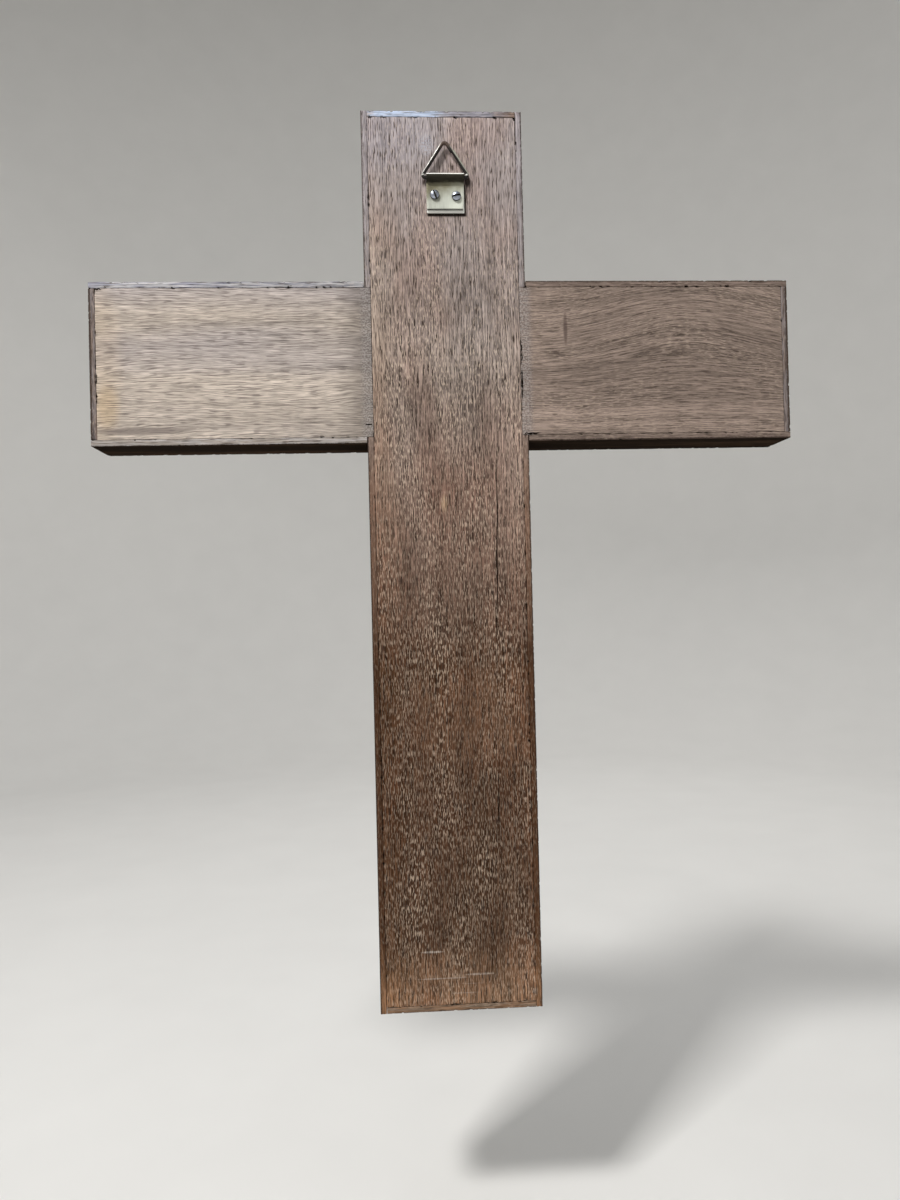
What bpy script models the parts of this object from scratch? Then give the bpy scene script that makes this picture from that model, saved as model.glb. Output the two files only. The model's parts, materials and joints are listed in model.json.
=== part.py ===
"""A wooden wall cross with a brass ring hanger screwed to the back of its upright.

The cross hangs as on a wall: +Z is up, the back with the hanger faces +Y and the
plain front faces -Y. The origin is the hang point, inside the apex of the ring.
Left and right are as seen from the back, so left is +X. All sizes are in metres.
"""
import math

import bmesh
import bpy
from mathutils import Vector

# The cross, measured over its edge strips
BEAM_WIDTH = 0.0683
HEAD_LENGTH = 0.0724
FOOT_LENGTH = 0.2393
ARM_LENGTH = 0.1140
DEPTH = 0.0240
STRIP_THICKNESS = 0.0028
FRONT_ROUND = 0.0022
FRONT_ROUND_STEPS = 4

# Clearance left between pieces that touch
GAP = 0.0003

# The hanger's place on the upright
PIVOT_DROP = 0.0293
HANGER_OFFSET = 0.0010

# The ring of round wire, its bends measured on their inner side
WIRE_DIAMETER = 0.0016
RING_WIDTH = 0.0202
RING_HEIGHT = 0.0161
APEX_BEND_INSIDE = 0.0007
FOOT_BEND_INSIDE = 0.0002
BEND_STEPS = 8
WIRE_ROUNDNESS = 4

# The folded plate, whose fold is rolled round the ring's bar
SHEET_THICKNESS = 0.0005
RING_PLAY = 0.00015
ROLL_CLEARANCE = 0.0004
FRONT_LEAF_LENGTH = 0.0135
LEAF_STEP = 0.0010
LEAF_GAP = 0.0003
REVERSE_BEND = 0.0010
ROLL_STEPS = 20
REVERSE_STEPS = 6

# The two round-head wood screws, placed from the sides and the end of the front leaf
SCREW_INSET = 0.00335
SCREW_RISE = 0.0059
SCREW_STAGGER = 0.0006
HEAD_DIAMETER = 0.0039
HEAD_HEIGHT = 0.0013
HEAD_RIM = 0.0003
SHANK_DIAMETER = 0.0020
SHANK_LENGTH = 0.0085
POINT_LENGTH = 0.0025
SLOT_WIDTH = 0.0006
SLOT_DEPTH = 0.0006
LEFT_SLOT_ANGLE = math.radians(67)
RIGHT_SLOT_ANGLE = math.radians(169)
DOME_STEPS = 5
ROUND_SIDES = 32

# How far a cutter reaches past what it cuts
CUT_MARGIN = 0.002

# Places worked out from the sizes above, with the ring's bar as the pivot
WIRE_RADIUS = WIRE_DIAMETER / 2
FOOT_BEND = FOOT_BEND_INSIDE + WIRE_RADIUS
APEX_BEND = APEX_BEND_INSIDE + WIRE_RADIUS
RING_REACH = RING_HEIGHT - WIRE_DIAMETER - WIRE_RADIUS
PIVOT_Z = -RING_REACH
BACK_LEAF_LENGTH = FRONT_LEAF_LENGTH + LEAF_STEP
ROLL_RADIUS = WIRE_RADIUS + ROLL_CLEARANCE + SHEET_THICKNESS
BACK_Y = -(ROLL_RADIUS + GAP)
FRONT_Y = BACK_Y - DEPTH
LEAF_FRONT_Y = -ROLL_RADIUS + 2 * SHEET_THICKNESS + LEAF_GAP
HEAD_SEAT_Y = LEAF_FRONT_Y + GAP

MIDDLE_X = HANGER_OFFSET
TOP_Z = PIVOT_Z + PIVOT_DROP
ARM_TOP_Z = TOP_Z - HEAD_LENGTH
ARM_BOTTOM_Z = ARM_TOP_Z - BEAM_WIDTH
BOTTOM_Z = ARM_BOTTOM_Z - FOOT_LENGTH
SIDE_REACH = BEAM_WIDTH / 2
TIP_REACH = SIDE_REACH + ARM_LENGTH
CORE_REACH = SIDE_REACH - STRIP_THICKNESS
CORE_TIP_REACH = TIP_REACH - STRIP_THICKNESS
CORE_TOP_Z = TOP_Z - STRIP_THICKNESS
CORE_BOTTOM_Z = BOTTOM_Z + STRIP_THICKNESS
ARM_CORE_TOP_Z = ARM_TOP_Z - STRIP_THICKNESS
ARM_CORE_BOTTOM_Z = ARM_BOTTOM_Z + STRIP_THICKNESS


def clear_scene():
    for obj in list(bpy.data.objects):
        bpy.data.objects.remove(obj, do_unlink=True)


def make_collection(name):
    collection = bpy.data.collections.new(name)
    bpy.context.scene.collection.children.link(collection)
    return collection


def make_material(name, colour, roughness, metallic=0.0):
    material = bpy.data.materials.new(name)
    material.use_nodes = True
    shader = material.node_tree.nodes["Principled BSDF"]
    shader.inputs["Base Color"].default_value = (*colour, 1.0)
    shader.inputs["Roughness"].default_value = roughness
    shader.inputs["Metallic"].default_value = metallic
    material.diffuse_color = (*colour, 1.0)
    return material


def add_object(name, mesh, collection, material=None):
    obj = bpy.data.objects.new(name, mesh)
    collection.objects.link(obj)
    if material:
        mesh.materials.clear()
        mesh.materials.append(material)
    return obj


def shade_round(obj, angle_degrees=35):
    obj.data.shade_smooth()
    obj.data.set_sharp_from_angle(angle=math.radians(angle_degrees))


def as_cutter(obj, cutters):
    obj.hide_render = True
    obj.display_type = 'WIRE'
    for collection in list(obj.users_collection):
        collection.objects.unlink(obj)
    cutters.objects.link(obj)
    return obj


def add_boolean(obj, cutter, operation):
    modifier = obj.modifiers.new(cutter.name, 'BOOLEAN')
    modifier.operation = operation
    modifier.solver = 'EXACT'
    modifier.object = cutter


def curve_to_mesh(curve_object, name):
    """Turn a filled or bevelled curve into a mesh in world space, with its caps welded."""
    bpy.context.view_layer.update()
    evaluated = curve_object.evaluated_get(bpy.context.evaluated_depsgraph_get())
    mesh = bpy.data.meshes.new_from_object(evaluated)
    mesh.name = name
    mesh.transform(curve_object.matrix_world)
    shape = bmesh.new()
    shape.from_mesh(mesh)
    bmesh.ops.remove_doubles(shape, verts=shape.verts, dist=1e-6)
    bmesh.ops.dissolve_limit(shape, angle_limit=math.radians(0.1), verts=shape.verts, edges=shape.edges)
    bmesh.ops.recalc_face_normals(shape, faces=shape.faces)
    shape.to_mesh(mesh)
    shape.free()
    bpy.data.objects.remove(curve_object, do_unlink=True)
    return mesh


def extrude_outline(name, points, thickness, rotation, location=(0, 0, 0)):
    """A flat closed outline, filled and given a thickness, as a mesh in world space."""
    curve = bpy.data.curves.new(name, 'CURVE')
    curve.dimensions = '2D'
    curve.fill_mode = 'BOTH'
    curve.extrude = thickness / 2
    spline = curve.splines.new('POLY')
    spline.points.add(len(points) - 1)
    for point, (across, up) in zip(spline.points, points):
        point.co = (across, up, 0, 1)
    spline.use_cyclic_u = True
    outline = bpy.data.objects.new(name, curve)
    bpy.context.scene.collection.objects.link(outline)
    outline.rotation_euler = rotation
    outline.location = location
    return curve_to_mesh(outline, name)


def add_cylinder(name, radius, start, end, collection):
    """A cylinder along Y between two points that differ only in Y."""
    bpy.ops.mesh.primitive_cylinder_add(
        vertices=ROUND_SIDES, radius=radius, depth=abs(end.y - start.y),
        location=(start + end) / 2, rotation=(math.pi / 2, 0, 0))
    cylinder = bpy.context.active_object
    cylinder.name = name
    return as_cutter(cylinder, collection)


def make_board(name, across, up, rounded_sides, parts, material):
    """A sawn board or strip, with the front edge of its outer sides rounded over.

    Each side is named by the way it faces: (1, 0) is left, (0, 1) is up.
    """
    low = Vector((min(across), FRONT_Y, min(up)))
    high = Vector((max(across), BACK_Y, max(up)))
    size = high - low
    middle = (low + high) / 2
    shape = bmesh.new()
    bmesh.ops.create_cube(shape, size=1)
    bmesh.ops.scale(shape, verts=shape.verts, vec=size)
    bmesh.ops.translate(shape, verts=shape.verts, vec=middle)
    front_edges = [edge for edge in shape.edges if all(vert.co.y < middle.y for vert in edge.verts)]
    outer_edges = []
    for facing_x, facing_z in rounded_sides:
        for edge in front_edges:
            reach = (edge.verts[0].co + edge.verts[1].co) / 2 - middle
            if reach.x * facing_x > size.x / 4 or reach.z * facing_z > size.z / 4:
                outer_edges.append(edge)
    if outer_edges:
        bmesh.ops.bevel(
            shape, geom=outer_edges, offset=min(FRONT_ROUND, STRIP_THICKNESS - 2 * GAP),
            offset_type='OFFSET', segments=FRONT_ROUND_STEPS, profile=0.5, affect='EDGES')
    mesh = bpy.data.meshes.new(name)
    shape.to_mesh(mesh)
    shape.free()
    board = add_object(name, mesh, parts, material)
    shade_round(board)
    return board


def make_boards_and_strips(parts, woods):
    """The upright, the two arms and the twelve thin strips round their edges."""
    core = (MIDDLE_X - CORE_REACH, MIDDLE_X + CORE_REACH)
    above, below = (0, 1), (0, -1)
    upright = make_board("upright_board", core, (CORE_BOTTOM_Z, CORE_TOP_Z), [], parts, woods["upright"])
    make_board("head_end_strip", core, (CORE_TOP_Z + GAP, TOP_Z), [above], parts, woods["strip"])
    make_board("foot_end_strip", core, (BOTTOM_Z, CORE_BOTTOM_Z - GAP), [below], parts, woods["strip"])

    for word, side in (("left", 1), ("right", -1)):

        def reach(distance):
            return MIDDLE_X + side * distance

        outward = (side, 0)
        arm_core = (reach(CORE_REACH + GAP), reach(CORE_TIP_REACH))
        arm_height = (ARM_CORE_BOTTOM_Z, ARM_CORE_TOP_Z)
        arm_edge = (reach(SIDE_REACH + GAP), reach(TIP_REACH))
        tip = (reach(CORE_TIP_REACH + GAP), reach(TIP_REACH))
        upright_side = (reach(CORE_REACH + GAP), reach(SIDE_REACH))
        strips = {
            "arm_end": (tip, arm_height, [outward]),
            "arm_top": (arm_edge, (ARM_CORE_TOP_Z + GAP, ARM_TOP_Z), [above, outward]),
            "arm_bottom": (arm_edge, (ARM_BOTTOM_Z, ARM_CORE_BOTTOM_Z - GAP), [below, outward]),
            "head_side": (upright_side, (ARM_CORE_TOP_Z + GAP, TOP_Z), [above, outward]),
            "foot_side": (upright_side, (BOTTOM_Z, ARM_CORE_BOTTOM_Z - GAP), [below, outward])}
        make_board(f"{word}_arm_board", arm_core, arm_height, [], parts, woods[word + "_arm"])
        for place, (across, up, rounded_sides) in strips.items():
            make_board(f"{word}_{place}_strip", across, up, rounded_sides, parts, woods["strip"])
    return upright


def arc(centre, radius, start, end, steps):
    """Points along an arc, each with its direction out from the centre."""
    points = []
    for step in range(steps + 1):
        angle = start + (end - start) * step / steps
        out = Vector((math.cos(angle), math.sin(angle)))
        points.append((Vector(centre) + radius * out, out))
    return points


def ring_bends():
    """The centres of the ring's right foot bend and apex bend, across and up from the pivot."""
    foot = Vector((RING_WIDTH / 2 - WIRE_RADIUS - FOOT_BEND, FOOT_BEND))
    apex = Vector((0, RING_HEIGHT - WIRE_DIAMETER - APEX_BEND))
    return foot, apex


def leg_facing():
    """The angle that the ring's right leg faces outward, from the line that joins both bends."""
    foot, apex = ring_bends()
    leg = apex - foot
    return math.atan2(leg.y, leg.x) - math.acos((FOOT_BEND - APEX_BEND) / leg.length)


def plate_width():
    """As wide as the ring's legs leave free where they come out past the roll."""
    foot, _ = ring_bends()
    facing = Vector((math.cos(leg_facing()), math.sin(leg_facing())))
    leg_inside = facing.dot(foot) + FOOT_BEND - WIRE_RADIUS
    reach = (leg_inside - facing.y * ROLL_RADIUS) / facing.x
    return 2 * (reach - RING_PLAY)


def plate_outline():
    """The folded sheet seen from its side: out from the wood, and up, from the pivot.

    It runs up the back leaf, round the roll and through a reverse bend into the front leaf.
    """
    half = SHEET_THICKNESS / 2
    middle = ROLL_RADIUS - half
    front_leaf = -middle + SHEET_THICKNESS + LEAF_GAP
    bend_across = front_leaf + REVERSE_BEND
    bend_drop = math.sqrt((middle + REVERSE_BEND) ** 2 - bend_across ** 2)
    bend_centre = (bend_across, -bend_drop)
    turn = math.atan2(-bend_drop, bend_across)
    up_the_back = [(Vector((-middle, -BACK_LEAF_LENGTH)), Vector((-1, 0)))]
    roll = arc((0, 0), middle, math.pi, turn, ROLL_STEPS)
    reverse = arc(bend_centre, REVERSE_BEND, turn + math.pi, math.pi, REVERSE_STEPS)
    reverse = [(point, -out) for point, out in reverse[1:]]
    down_the_front = [(Vector((front_leaf, -FRONT_LEAF_LENGTH)), Vector((1, 0)))]
    line = up_the_back + roll + reverse + down_the_front
    outer = [point + half * out for point, out in line]
    inner = [point - half * out for point, out in reversed(line)]
    return outer + inner


def screw_places():
    """Where each screw stands, across and up, with the angle of its slot."""
    half = plate_width() / 2 - SCREW_INSET
    height = PIVOT_Z - FRONT_LEAF_LENGTH + SCREW_RISE
    return {
        "left": (half, height + SCREW_STAGGER / 2, LEFT_SLOT_ANGLE),
        "right": (-half, height - SCREW_STAGGER / 2, RIGHT_SLOT_ANGLE)}


def drill(obj, name, place, reach, cutters):
    """A screw hole with clearance round the shank, between two depths along Y."""
    across, up = place
    start = Vector((across, reach[0], up))
    end = Vector((across, reach[1], up))
    hole = add_cylinder(name, SHANK_DIAMETER / 2 + GAP, start, end, cutters)
    add_boolean(obj, hole, 'DIFFERENCE')


def make_plate(collections, material):
    parts, cutters = collections
    mesh = extrude_outline(
        "hanger_plate", plate_outline(), plate_width(), (math.pi / 2, 0, math.pi / 2), (0, 0, PIVOT_Z))
    plate = add_object("hanger_plate", mesh, parts, material)
    for word, (across, up, _) in screw_places().items():
        reach = (BACK_Y, HEAD_SEAT_Y)
        drill(plate, f"plate_hole_{word}", (across, up), reach, cutters)
    shade_round(plate)
    return plate


def drill_upright(upright, cutters):
    """A blind pilot hole for each screw, a little deeper than its point."""
    depth = HEAD_SEAT_Y - SHANK_LENGTH - GAP
    for word, (across, up, _) in screw_places().items():
        drill(upright, f"pilot_hole_{word}", (across, up), (depth, BACK_Y + CUT_MARGIN), cutters)


def screw_profile():
    """Half the outline of a screw, from the top of its dome down to its point, on the axis."""
    rim_radius = HEAD_DIAMETER / 2
    dome = HEAD_HEIGHT - HEAD_RIM
    points = []
    for step in range(DOME_STEPS + 1):
        angle = math.pi / 2 * step / DOME_STEPS
        points.append((rim_radius * math.sin(angle), HEAD_RIM + dome * math.cos(angle)))
    points.append((rim_radius, 0))
    points.append((SHANK_DIAMETER / 2, 0))
    points.append((SHANK_DIAMETER / 2, POINT_LENGTH - SHANK_LENGTH))
    points.append((0, -SHANK_LENGTH))
    return points


def make_screw(word, collections, material):
    """A round-head screw turned about its own axis, standing out along +Y, with a slot."""
    parts, cutters = collections
    across, up, slot_angle = screw_places()[word]
    profile = screw_profile()
    mesh = bpy.data.meshes.new(f"{word}_screw")
    vertices = [(radius, 0, height) for radius, height in profile]
    edges = [(index, index + 1) for index in range(len(profile) - 1)]
    mesh.from_pydata(vertices, edges, [])
    screw = add_object(f"{word}_screw", mesh, parts, material)
    screw.location = (across, HEAD_SEAT_Y, up)
    screw.rotation_euler = (-math.pi / 2, 0, 0)
    turned = screw.modifiers.new("turned", 'SCREW')
    turned.steps = ROUND_SIDES
    turned.render_steps = ROUND_SIDES
    turned.use_merge_vertices = True
    turned.merge_threshold = 0.00001
    turned.use_smooth_shade = True

    slot_floor = HEAD_SEAT_Y + HEAD_HEIGHT - SLOT_DEPTH
    slot_top = HEAD_SEAT_Y + HEAD_HEIGHT + CUT_MARGIN
    bpy.ops.mesh.primitive_cube_add(
        size=1, location=(across, (slot_floor + slot_top) / 2, up), rotation=(0, -slot_angle, 0))
    slot = bpy.context.active_object
    slot.name = f"{word}_screw_slot"
    slot.scale = (HEAD_DIAMETER + CUT_MARGIN, slot_top - slot_floor, SLOT_WIDTH)
    as_cutter(slot, cutters)
    add_boolean(screw, slot, 'DIFFERENCE')
    return screw


def ring_path():
    """The wire's middle line: three bends joined by straights, across and up from the pivot."""
    foot, apex = ring_bends()
    left_foot = (-foot.x, foot.y)
    facing = leg_facing()
    mirrored = math.pi - facing
    bends = [
        arc(foot, FOOT_BEND, -math.pi / 2, facing, BEND_STEPS),
        arc(apex, APEX_BEND, facing, mirrored, BEND_STEPS),
        arc(left_foot, FOOT_BEND, mirrored, 3 * math.pi / 2, BEND_STEPS)]
    return [point for bend in bends for point, _ in bend]


def make_ring(parts, material):
    """The triangular ring, with its bar in the plate's roll and its apex up along the back."""
    curve = bpy.data.curves.new("ring_wire", 'CURVE')
    curve.dimensions = '3D'
    curve.bevel_depth = WIRE_RADIUS
    curve.bevel_resolution = WIRE_ROUNDNESS
    path = ring_path()
    spline = curve.splines.new('POLY')
    spline.points.add(len(path) - 1)
    for point, (across, up) in zip(spline.points, path):
        point.co = (across, 0, up, 1)
    spline.use_cyclic_u = True
    curve.materials.append(material)
    ring = bpy.data.objects.new("hanger_ring", curve)
    parts.objects.link(ring)
    ring.location = (0, 0, PIVOT_Z)
    return ring


def main():
    clear_scene()
    parts = make_collection("wooden_wall_cross")
    cutters = make_collection("cutters")
    collections = (parts, cutters)
    woods = {
        "upright": make_material("upright_wood", (0.130, 0.082, 0.062), 0.62),
        "left_arm": make_material("pale_arm_wood", (0.330, 0.245, 0.185), 0.65),
        "right_arm": make_material("brown_arm_wood", (0.205, 0.145, 0.112), 0.64),
        "strip": make_material("strip_wood", (0.150, 0.100, 0.078), 0.60)}
    brass = make_material("aged_brass", (0.420, 0.385, 0.235), 0.38, 1.0)
    ring_brass = make_material("ring_brass", (0.300, 0.255, 0.180), 0.32, 1.0)
    steel = make_material("screw_steel", (0.420, 0.440, 0.480), 0.30, 1.0)

    upright = make_boards_and_strips(parts, woods)
    drill_upright(upright, cutters)
    make_plate(collections, brass)
    for word in ("left", "right"):
        make_screw(word, collections, steel)
    make_ring(parts, ring_brass)


main()
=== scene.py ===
"""Looks for a wooden wall cross with a brass ring hanger on its back.

Each board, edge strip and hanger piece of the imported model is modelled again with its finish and
its wear. +Z is up as the cross hangs, the back with the hanger faces +Y, and left is +X, as seen
from the back. Sizes are in metres unless a name says millimetres.
"""
import json
import math
from contextlib import contextmanager

import bmesh
import bpy
from bpy.props import FloatProperty, FloatVectorProperty, PointerProperty
from mathutils import Matrix, Vector, noise


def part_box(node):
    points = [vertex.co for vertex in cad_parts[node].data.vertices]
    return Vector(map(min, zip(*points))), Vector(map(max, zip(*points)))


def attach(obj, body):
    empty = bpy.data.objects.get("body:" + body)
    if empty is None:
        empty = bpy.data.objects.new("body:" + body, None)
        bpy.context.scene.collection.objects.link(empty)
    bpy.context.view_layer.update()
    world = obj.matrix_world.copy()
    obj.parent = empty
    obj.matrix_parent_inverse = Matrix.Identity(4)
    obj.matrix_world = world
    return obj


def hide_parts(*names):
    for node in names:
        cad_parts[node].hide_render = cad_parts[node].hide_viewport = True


bl_info = {
    "name": "Wooden wall cross",
    "version": (1, 0, 0),
    "blender": (4, 5, 0),
    "location": "3D View > Sidebar > Wall Cross",
    "description": "Models an aged wooden wall cross and its brass ring hanger",
    "category": "Object",
}

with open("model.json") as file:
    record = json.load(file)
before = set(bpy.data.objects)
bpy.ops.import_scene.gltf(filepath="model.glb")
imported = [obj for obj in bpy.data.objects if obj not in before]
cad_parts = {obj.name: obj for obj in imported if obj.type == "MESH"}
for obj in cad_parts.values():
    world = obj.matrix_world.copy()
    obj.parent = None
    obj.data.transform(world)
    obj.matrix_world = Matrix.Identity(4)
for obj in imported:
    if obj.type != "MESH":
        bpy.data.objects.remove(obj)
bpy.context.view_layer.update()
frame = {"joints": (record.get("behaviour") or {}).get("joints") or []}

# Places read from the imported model
PIVOT = Vector(frame["joints"][0]["pos_m"])
UPRIGHT_LOW, UPRIGHT_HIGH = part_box("upright_board")
PLATE_LOW, PLATE_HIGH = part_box("hanger_plate")
RING_LOW, RING_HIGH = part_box("hanger_ring")
MIDDLE_X = (UPRIGHT_LOW.x + UPRIGHT_HIGH.x) / 2
BACK_Y = UPRIGHT_HIGH.y
TOP_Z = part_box("head_end_strip")[1].z
BOTTOM_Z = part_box("foot_end_strip")[0].z
HALF_WIDTH = (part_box("left_foot_side_strip")[1].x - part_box("right_foot_side_strip")[0].x) / 2
REACH = (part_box("left_arm_end_strip")[1].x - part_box("right_arm_end_strip")[0].x) / 2
ARM_TOP_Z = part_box("left_arm_top_strip")[1].z
ARM_BOTTOM_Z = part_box("left_arm_bottom_strip")[0].z
CROSSING = Vector((MIDDLE_X, 0, (ARM_TOP_Z + ARM_BOTTOM_Z) / 2))
MM = 0.001

# How far in from the back the lacquered front begins to shine
FRONT_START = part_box("upright_board")[1].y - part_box("upright_board")[0].y - 0.0012

# Places on the back, in millimetres: right of the middle, down from the top, half width, half height
COOL_CORNER = (-22.0, 9.0, 18.0, 15.0)
SCUFF = (-6.5, 14.5, 3.0, 4.2)
KNOT = (-2.4, 166.7, 1.4, 3.2)
GREY_MIDDLE = (-92.0, 101.0, 75.0, 10.0)
YELLOW_END = (-145.0, 108.0, 9.0, 34.0)
YELLOW_SPOT = (-141.0, 124.5, 4.5, 8.5)
DARK_STREAK = (-127.0, 134.6, 19.0, 1.5)
DARK_MARK = (51.0, 93.0, 0.8, 6.5)

# Colours of single marks
COOL_GREY = (0.36, 0.36, 0.42)
KNOT_TAN = (0.42, 0.30, 0.19)
SCUFF_BLUE = (0.46, 0.48, 0.56)
MARK_BLACK = (0.08, 0.055, 0.05)

# Places where the upright is paler, or darker if below 0, each with how much
SHADES = (
    ((16.0, 257.0, 34.0, 20.0), 0.60),
    ((0.0, 101.0, 40.0, 13.0), 0.12),
    ((0.0, 124.0, 40.0, 12.0), -0.14),
    ((0.0, 81.0, 40.0, 10.0), -0.09))

# Each scratch on the foot, with its strength
SCRATCHES = (
    ((-12.0, 355.0, 4.4, 0.42), 0.95),
    ((-8.0, 366.2, 9.5, 0.28), 0.65),
    ((7.5, 365.0, 5.8, 0.42), 0.70),
    ((1.5, 372.6, 5.5, 0.26), 0.35),
    ((5.0, 368.8, 4.0, 0.24), 0.30),
    ((-1.0, 360.4, 2.2, 0.22), 0.30),
    ((31.2, 373.4, 1.0, 0.80), 0.80))

# Each crack in a board, in millimetres: its two ends right of the middle and down from the top, then
# its width and its depth
UPRIGHT_SPLITS = (
    ((20.3, 149), (18.6, 226), 0.55, 3.0),
    ((17.9, 279), (17.3, 309), 0.45, 2.5),
    ((31.6, 96), (31.8, 123), 0.5, 3.5),
    ((30.9, 1.9), (31.3, 4.1), 1.3, 1.5))
LEFT_ARM_SPLITS = (
    ((-146.5, 75.4), (-142.5, 75.4), 0.7, 2.5),
    ((-35.0, 132.9), (-32.0, 132.9), 0.6, 2.0))
RIGHT_ARM_SPLITS = (
    ((31.9, 98), (32.0, 108), 0.6, 3.0),
    ((32.0, 110), (31.9, 123), 0.7, 3.0),
    ((32.6, 137.5), (39.0, 137.4), 0.7, 2.5))

# Each light's place, the point that it faces, its width and its colour
LIGHTS = {
    "key": ((0.50, 0.60, 0.85), (0, 0, -0.17), 0.20, (1.0, 0.99, 0.97)),
    "sky": ((0.1, 0.10, 1.25), (0, 0, 0), 0.9, (0.86, 0.92, 1.0)),
    "front": ((-0.5, -1.1, 0.7), (0, 0, -0.17), 0.8, (1.0, 0.99, 0.97))}
SURROUNDINGS_COLOUR = (0.80, 0.84, 0.90, 1.0)
SURROUNDINGS_STRENGTH = 0.12

# The most lengths that one subdivide call gives an edge
MOST_LENGTHS = 90

# Places closer than this are the same
TINY = 0.000001

# Height of each material's bumps
METAL_RELIEF = 0.00002
WOOD_RELIEF = 0.00012
PAINT_RELIEF = 0.0002


def length_value(name, description, default, low=0.0, high=1.0):
    return FloatProperty(
        name=name, description=description, default=default, min=low, max=high, precision=5,
        subtype='DISTANCE', unit='LENGTH')


def colour_value(name, description, default):
    return FloatVectorProperty(
        name=name, description=description, default=default, min=0.0, max=1.0, size=3, subtype='COLOR')


class WearSizes(bpy.types.PropertyGroup):
    """How far use and age have abraded the wood"""
    rounding: length_value("Rounding", "Even rounding of every wooden edge", 0.00012)
    rub: length_value("Rub", "Deepest uneven wear along the edges", 0.00014)
    chip: length_value("Chip", "Deepest chip out of an edge", 0.00065)
    reach: length_value("Reach", "How far from an edge its wear reaches", 0.0011)
    filled: length_value("Filled", "How much of each side of a seam the glue fills", 0.00013)
    board_cell: length_value("Board cell", "Spacing of the mesh on the boards", 0.0012, 0.0004)
    strip_cell: length_value("Strip cell", "Spacing of the mesh along the strips", 0.0006, 0.0003)


class WoodColours(bpy.types.PropertyGroup):
    """Colours of the bare wood on the back and of the lacquer on the other faces"""
    head: colour_value("Head", "Upright at its top end", (0.372, 0.324, 0.324))
    waist: colour_value("Waist", "Upright between the arms", (0.254, 0.208, 0.185))
    middle: colour_value("Middle", "Upright just below the arms", (0.196, 0.130, 0.103))
    shin: colour_value("Shin", "Upright at its darkest, low down", (0.074, 0.039, 0.023))
    foot: colour_value("Foot", "Upright at its bottom end", (0.230, 0.134, 0.080))
    left_arm: colour_value("Left arm", "Pale board of the left arm", (0.525, 0.454, 0.396))
    right_arm: colour_value("Right arm", "Brown board of the right arm", (0.233, 0.180, 0.152))
    crumb: colour_value("Crumb", "Old glue beside the upright", (0.400, 0.370, 0.360))
    dust: colour_value("Dust", "Pale dust in the open pores", (0.620, 0.500, 0.390))
    pore: colour_value("Pore", "Dark open pores", (0.050, 0.034, 0.027))
    dash: colour_value("Dash", "Dark dashes in the left arm", (0.170, 0.140, 0.130))
    stain: colour_value("Stain", "Yellow stain at the left arm's end", (0.540, 0.400, 0.250))
    scratch: colour_value("Scratch", "Pale scratches on the foot", (0.520, 0.450, 0.390))
    # Painted bluish sky sheen on the head strip
    sheen_blue_strip: colour_value("Blue strip", "Bleached part of the strip on the head", (0.480, 0.560, 0.720))
    violet_strip: colour_value("Violet strip", "Middle of the strip on the head", (0.300, 0.290, 0.330))
    brown_strip: colour_value("Brown strip", "Right end of the strip on the head", (0.215, 0.155, 0.130))
    # Partly the strip's own grey, partly painted bluish sheen with pale highlight streaks
    pale_strip: colour_value("Pale strip", "Strip on top of the left arm", (0.480, 0.470, 0.485))
    grey_strip: colour_value("Grey strip", "Streaks in the strip on the left arm", (0.270, 0.270, 0.320))
    low_strip: colour_value("Low strip", "Strip under the left arm", (0.288, 0.254, 0.229))
    umber_strip: colour_value("Umber strip", "Strips over and under the right arm", (0.205, 0.155, 0.132))
    end_strip: colour_value("End strip", "Strips on the arms' ends", (0.195, 0.168, 0.166))
    toe_strip: colour_value("Toe strip", "Strip under the foot", (0.230, 0.165, 0.120))
    lacquer: colour_value("Lacquer", "Dark lacquer on the front and the edges", (0.017, 0.012, 0.009))
    worn_lacquer: colour_value("Worn lacquer", "Lacquer where it has thinned", (0.045, 0.028, 0.018))


class HangerSizes(bpy.types.PropertyGroup):
    """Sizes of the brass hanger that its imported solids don't give by their boxes"""
    sheet: length_value("Sheet", "Thickness of the folded sheet", 0.00048)
    leaf_step: length_value("Leaf step", "How much the back leaf shows below the front one", 0.0012)
    leaf_gap: length_value("Leaf gap", "Opening between the two leaves", 0.00032)
    sliver: length_value("Sliver", "How much the back leaf shows at the front one's right", 0.00055)
    reverse_bend: length_value("Reverse bend", "Radius where the roll turns into the front leaf", 0.0010)
    bow: length_value("Bow", "How far the front leaf bows out", 0.00018)
    lift: length_value("Lift", "How far the front leaf's lower right corner stands off", 0.00012)
    corner: length_value("Corner", "Rounding of the leaves' corners", 0.00035)
    apex_bend: length_value("Apex bend", "Radius inside the ring's apex", 0.0007)
    foot_bend: length_value("Foot bend", "Radius inside the ring's two feet", 0.0002)
    wire: length_value("Wire", "Thickness of the ring's wire", 0.0016)
    joint_drop: length_value("Joint drop", "How far below the ring's top its wire ends meet", 0.0044)
    joint_step: length_value("Joint step", "How far the lower wire end stands out", 0.00045)
    joint_gap: length_value("Joint gap", "Opening between the two wire ends", 0.00015)
    head_height: length_value("Head height", "Height of a screw's round head", 0.0013)
    head_rim: length_value("Head rim", "Straight part of a screw's head", 0.0003)
    shank: length_value("Shank", "Thickness of a screw's shank", 0.0020)
    point: length_value("Point", "Length of a screw's point", 0.0025)
    hole_play: length_value("Hole play", "Clearance round a screw's shank", 0.0003)
    slot_width: length_value("Slot width", "Width of a screw's slot", 0.0006)
    slot_depth: length_value("Slot depth", "Depth of a screw's slot", 0.0006)
    left_slot: FloatProperty(
        name="Left slot", description="Turn of the left screw's slot", subtype='ANGLE',
        default=math.radians(67))
    right_slot: FloatProperty(
        name="Right slot", description="Turn of the right screw's slot", subtype='ANGLE',
        default=math.radians(169))


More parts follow.
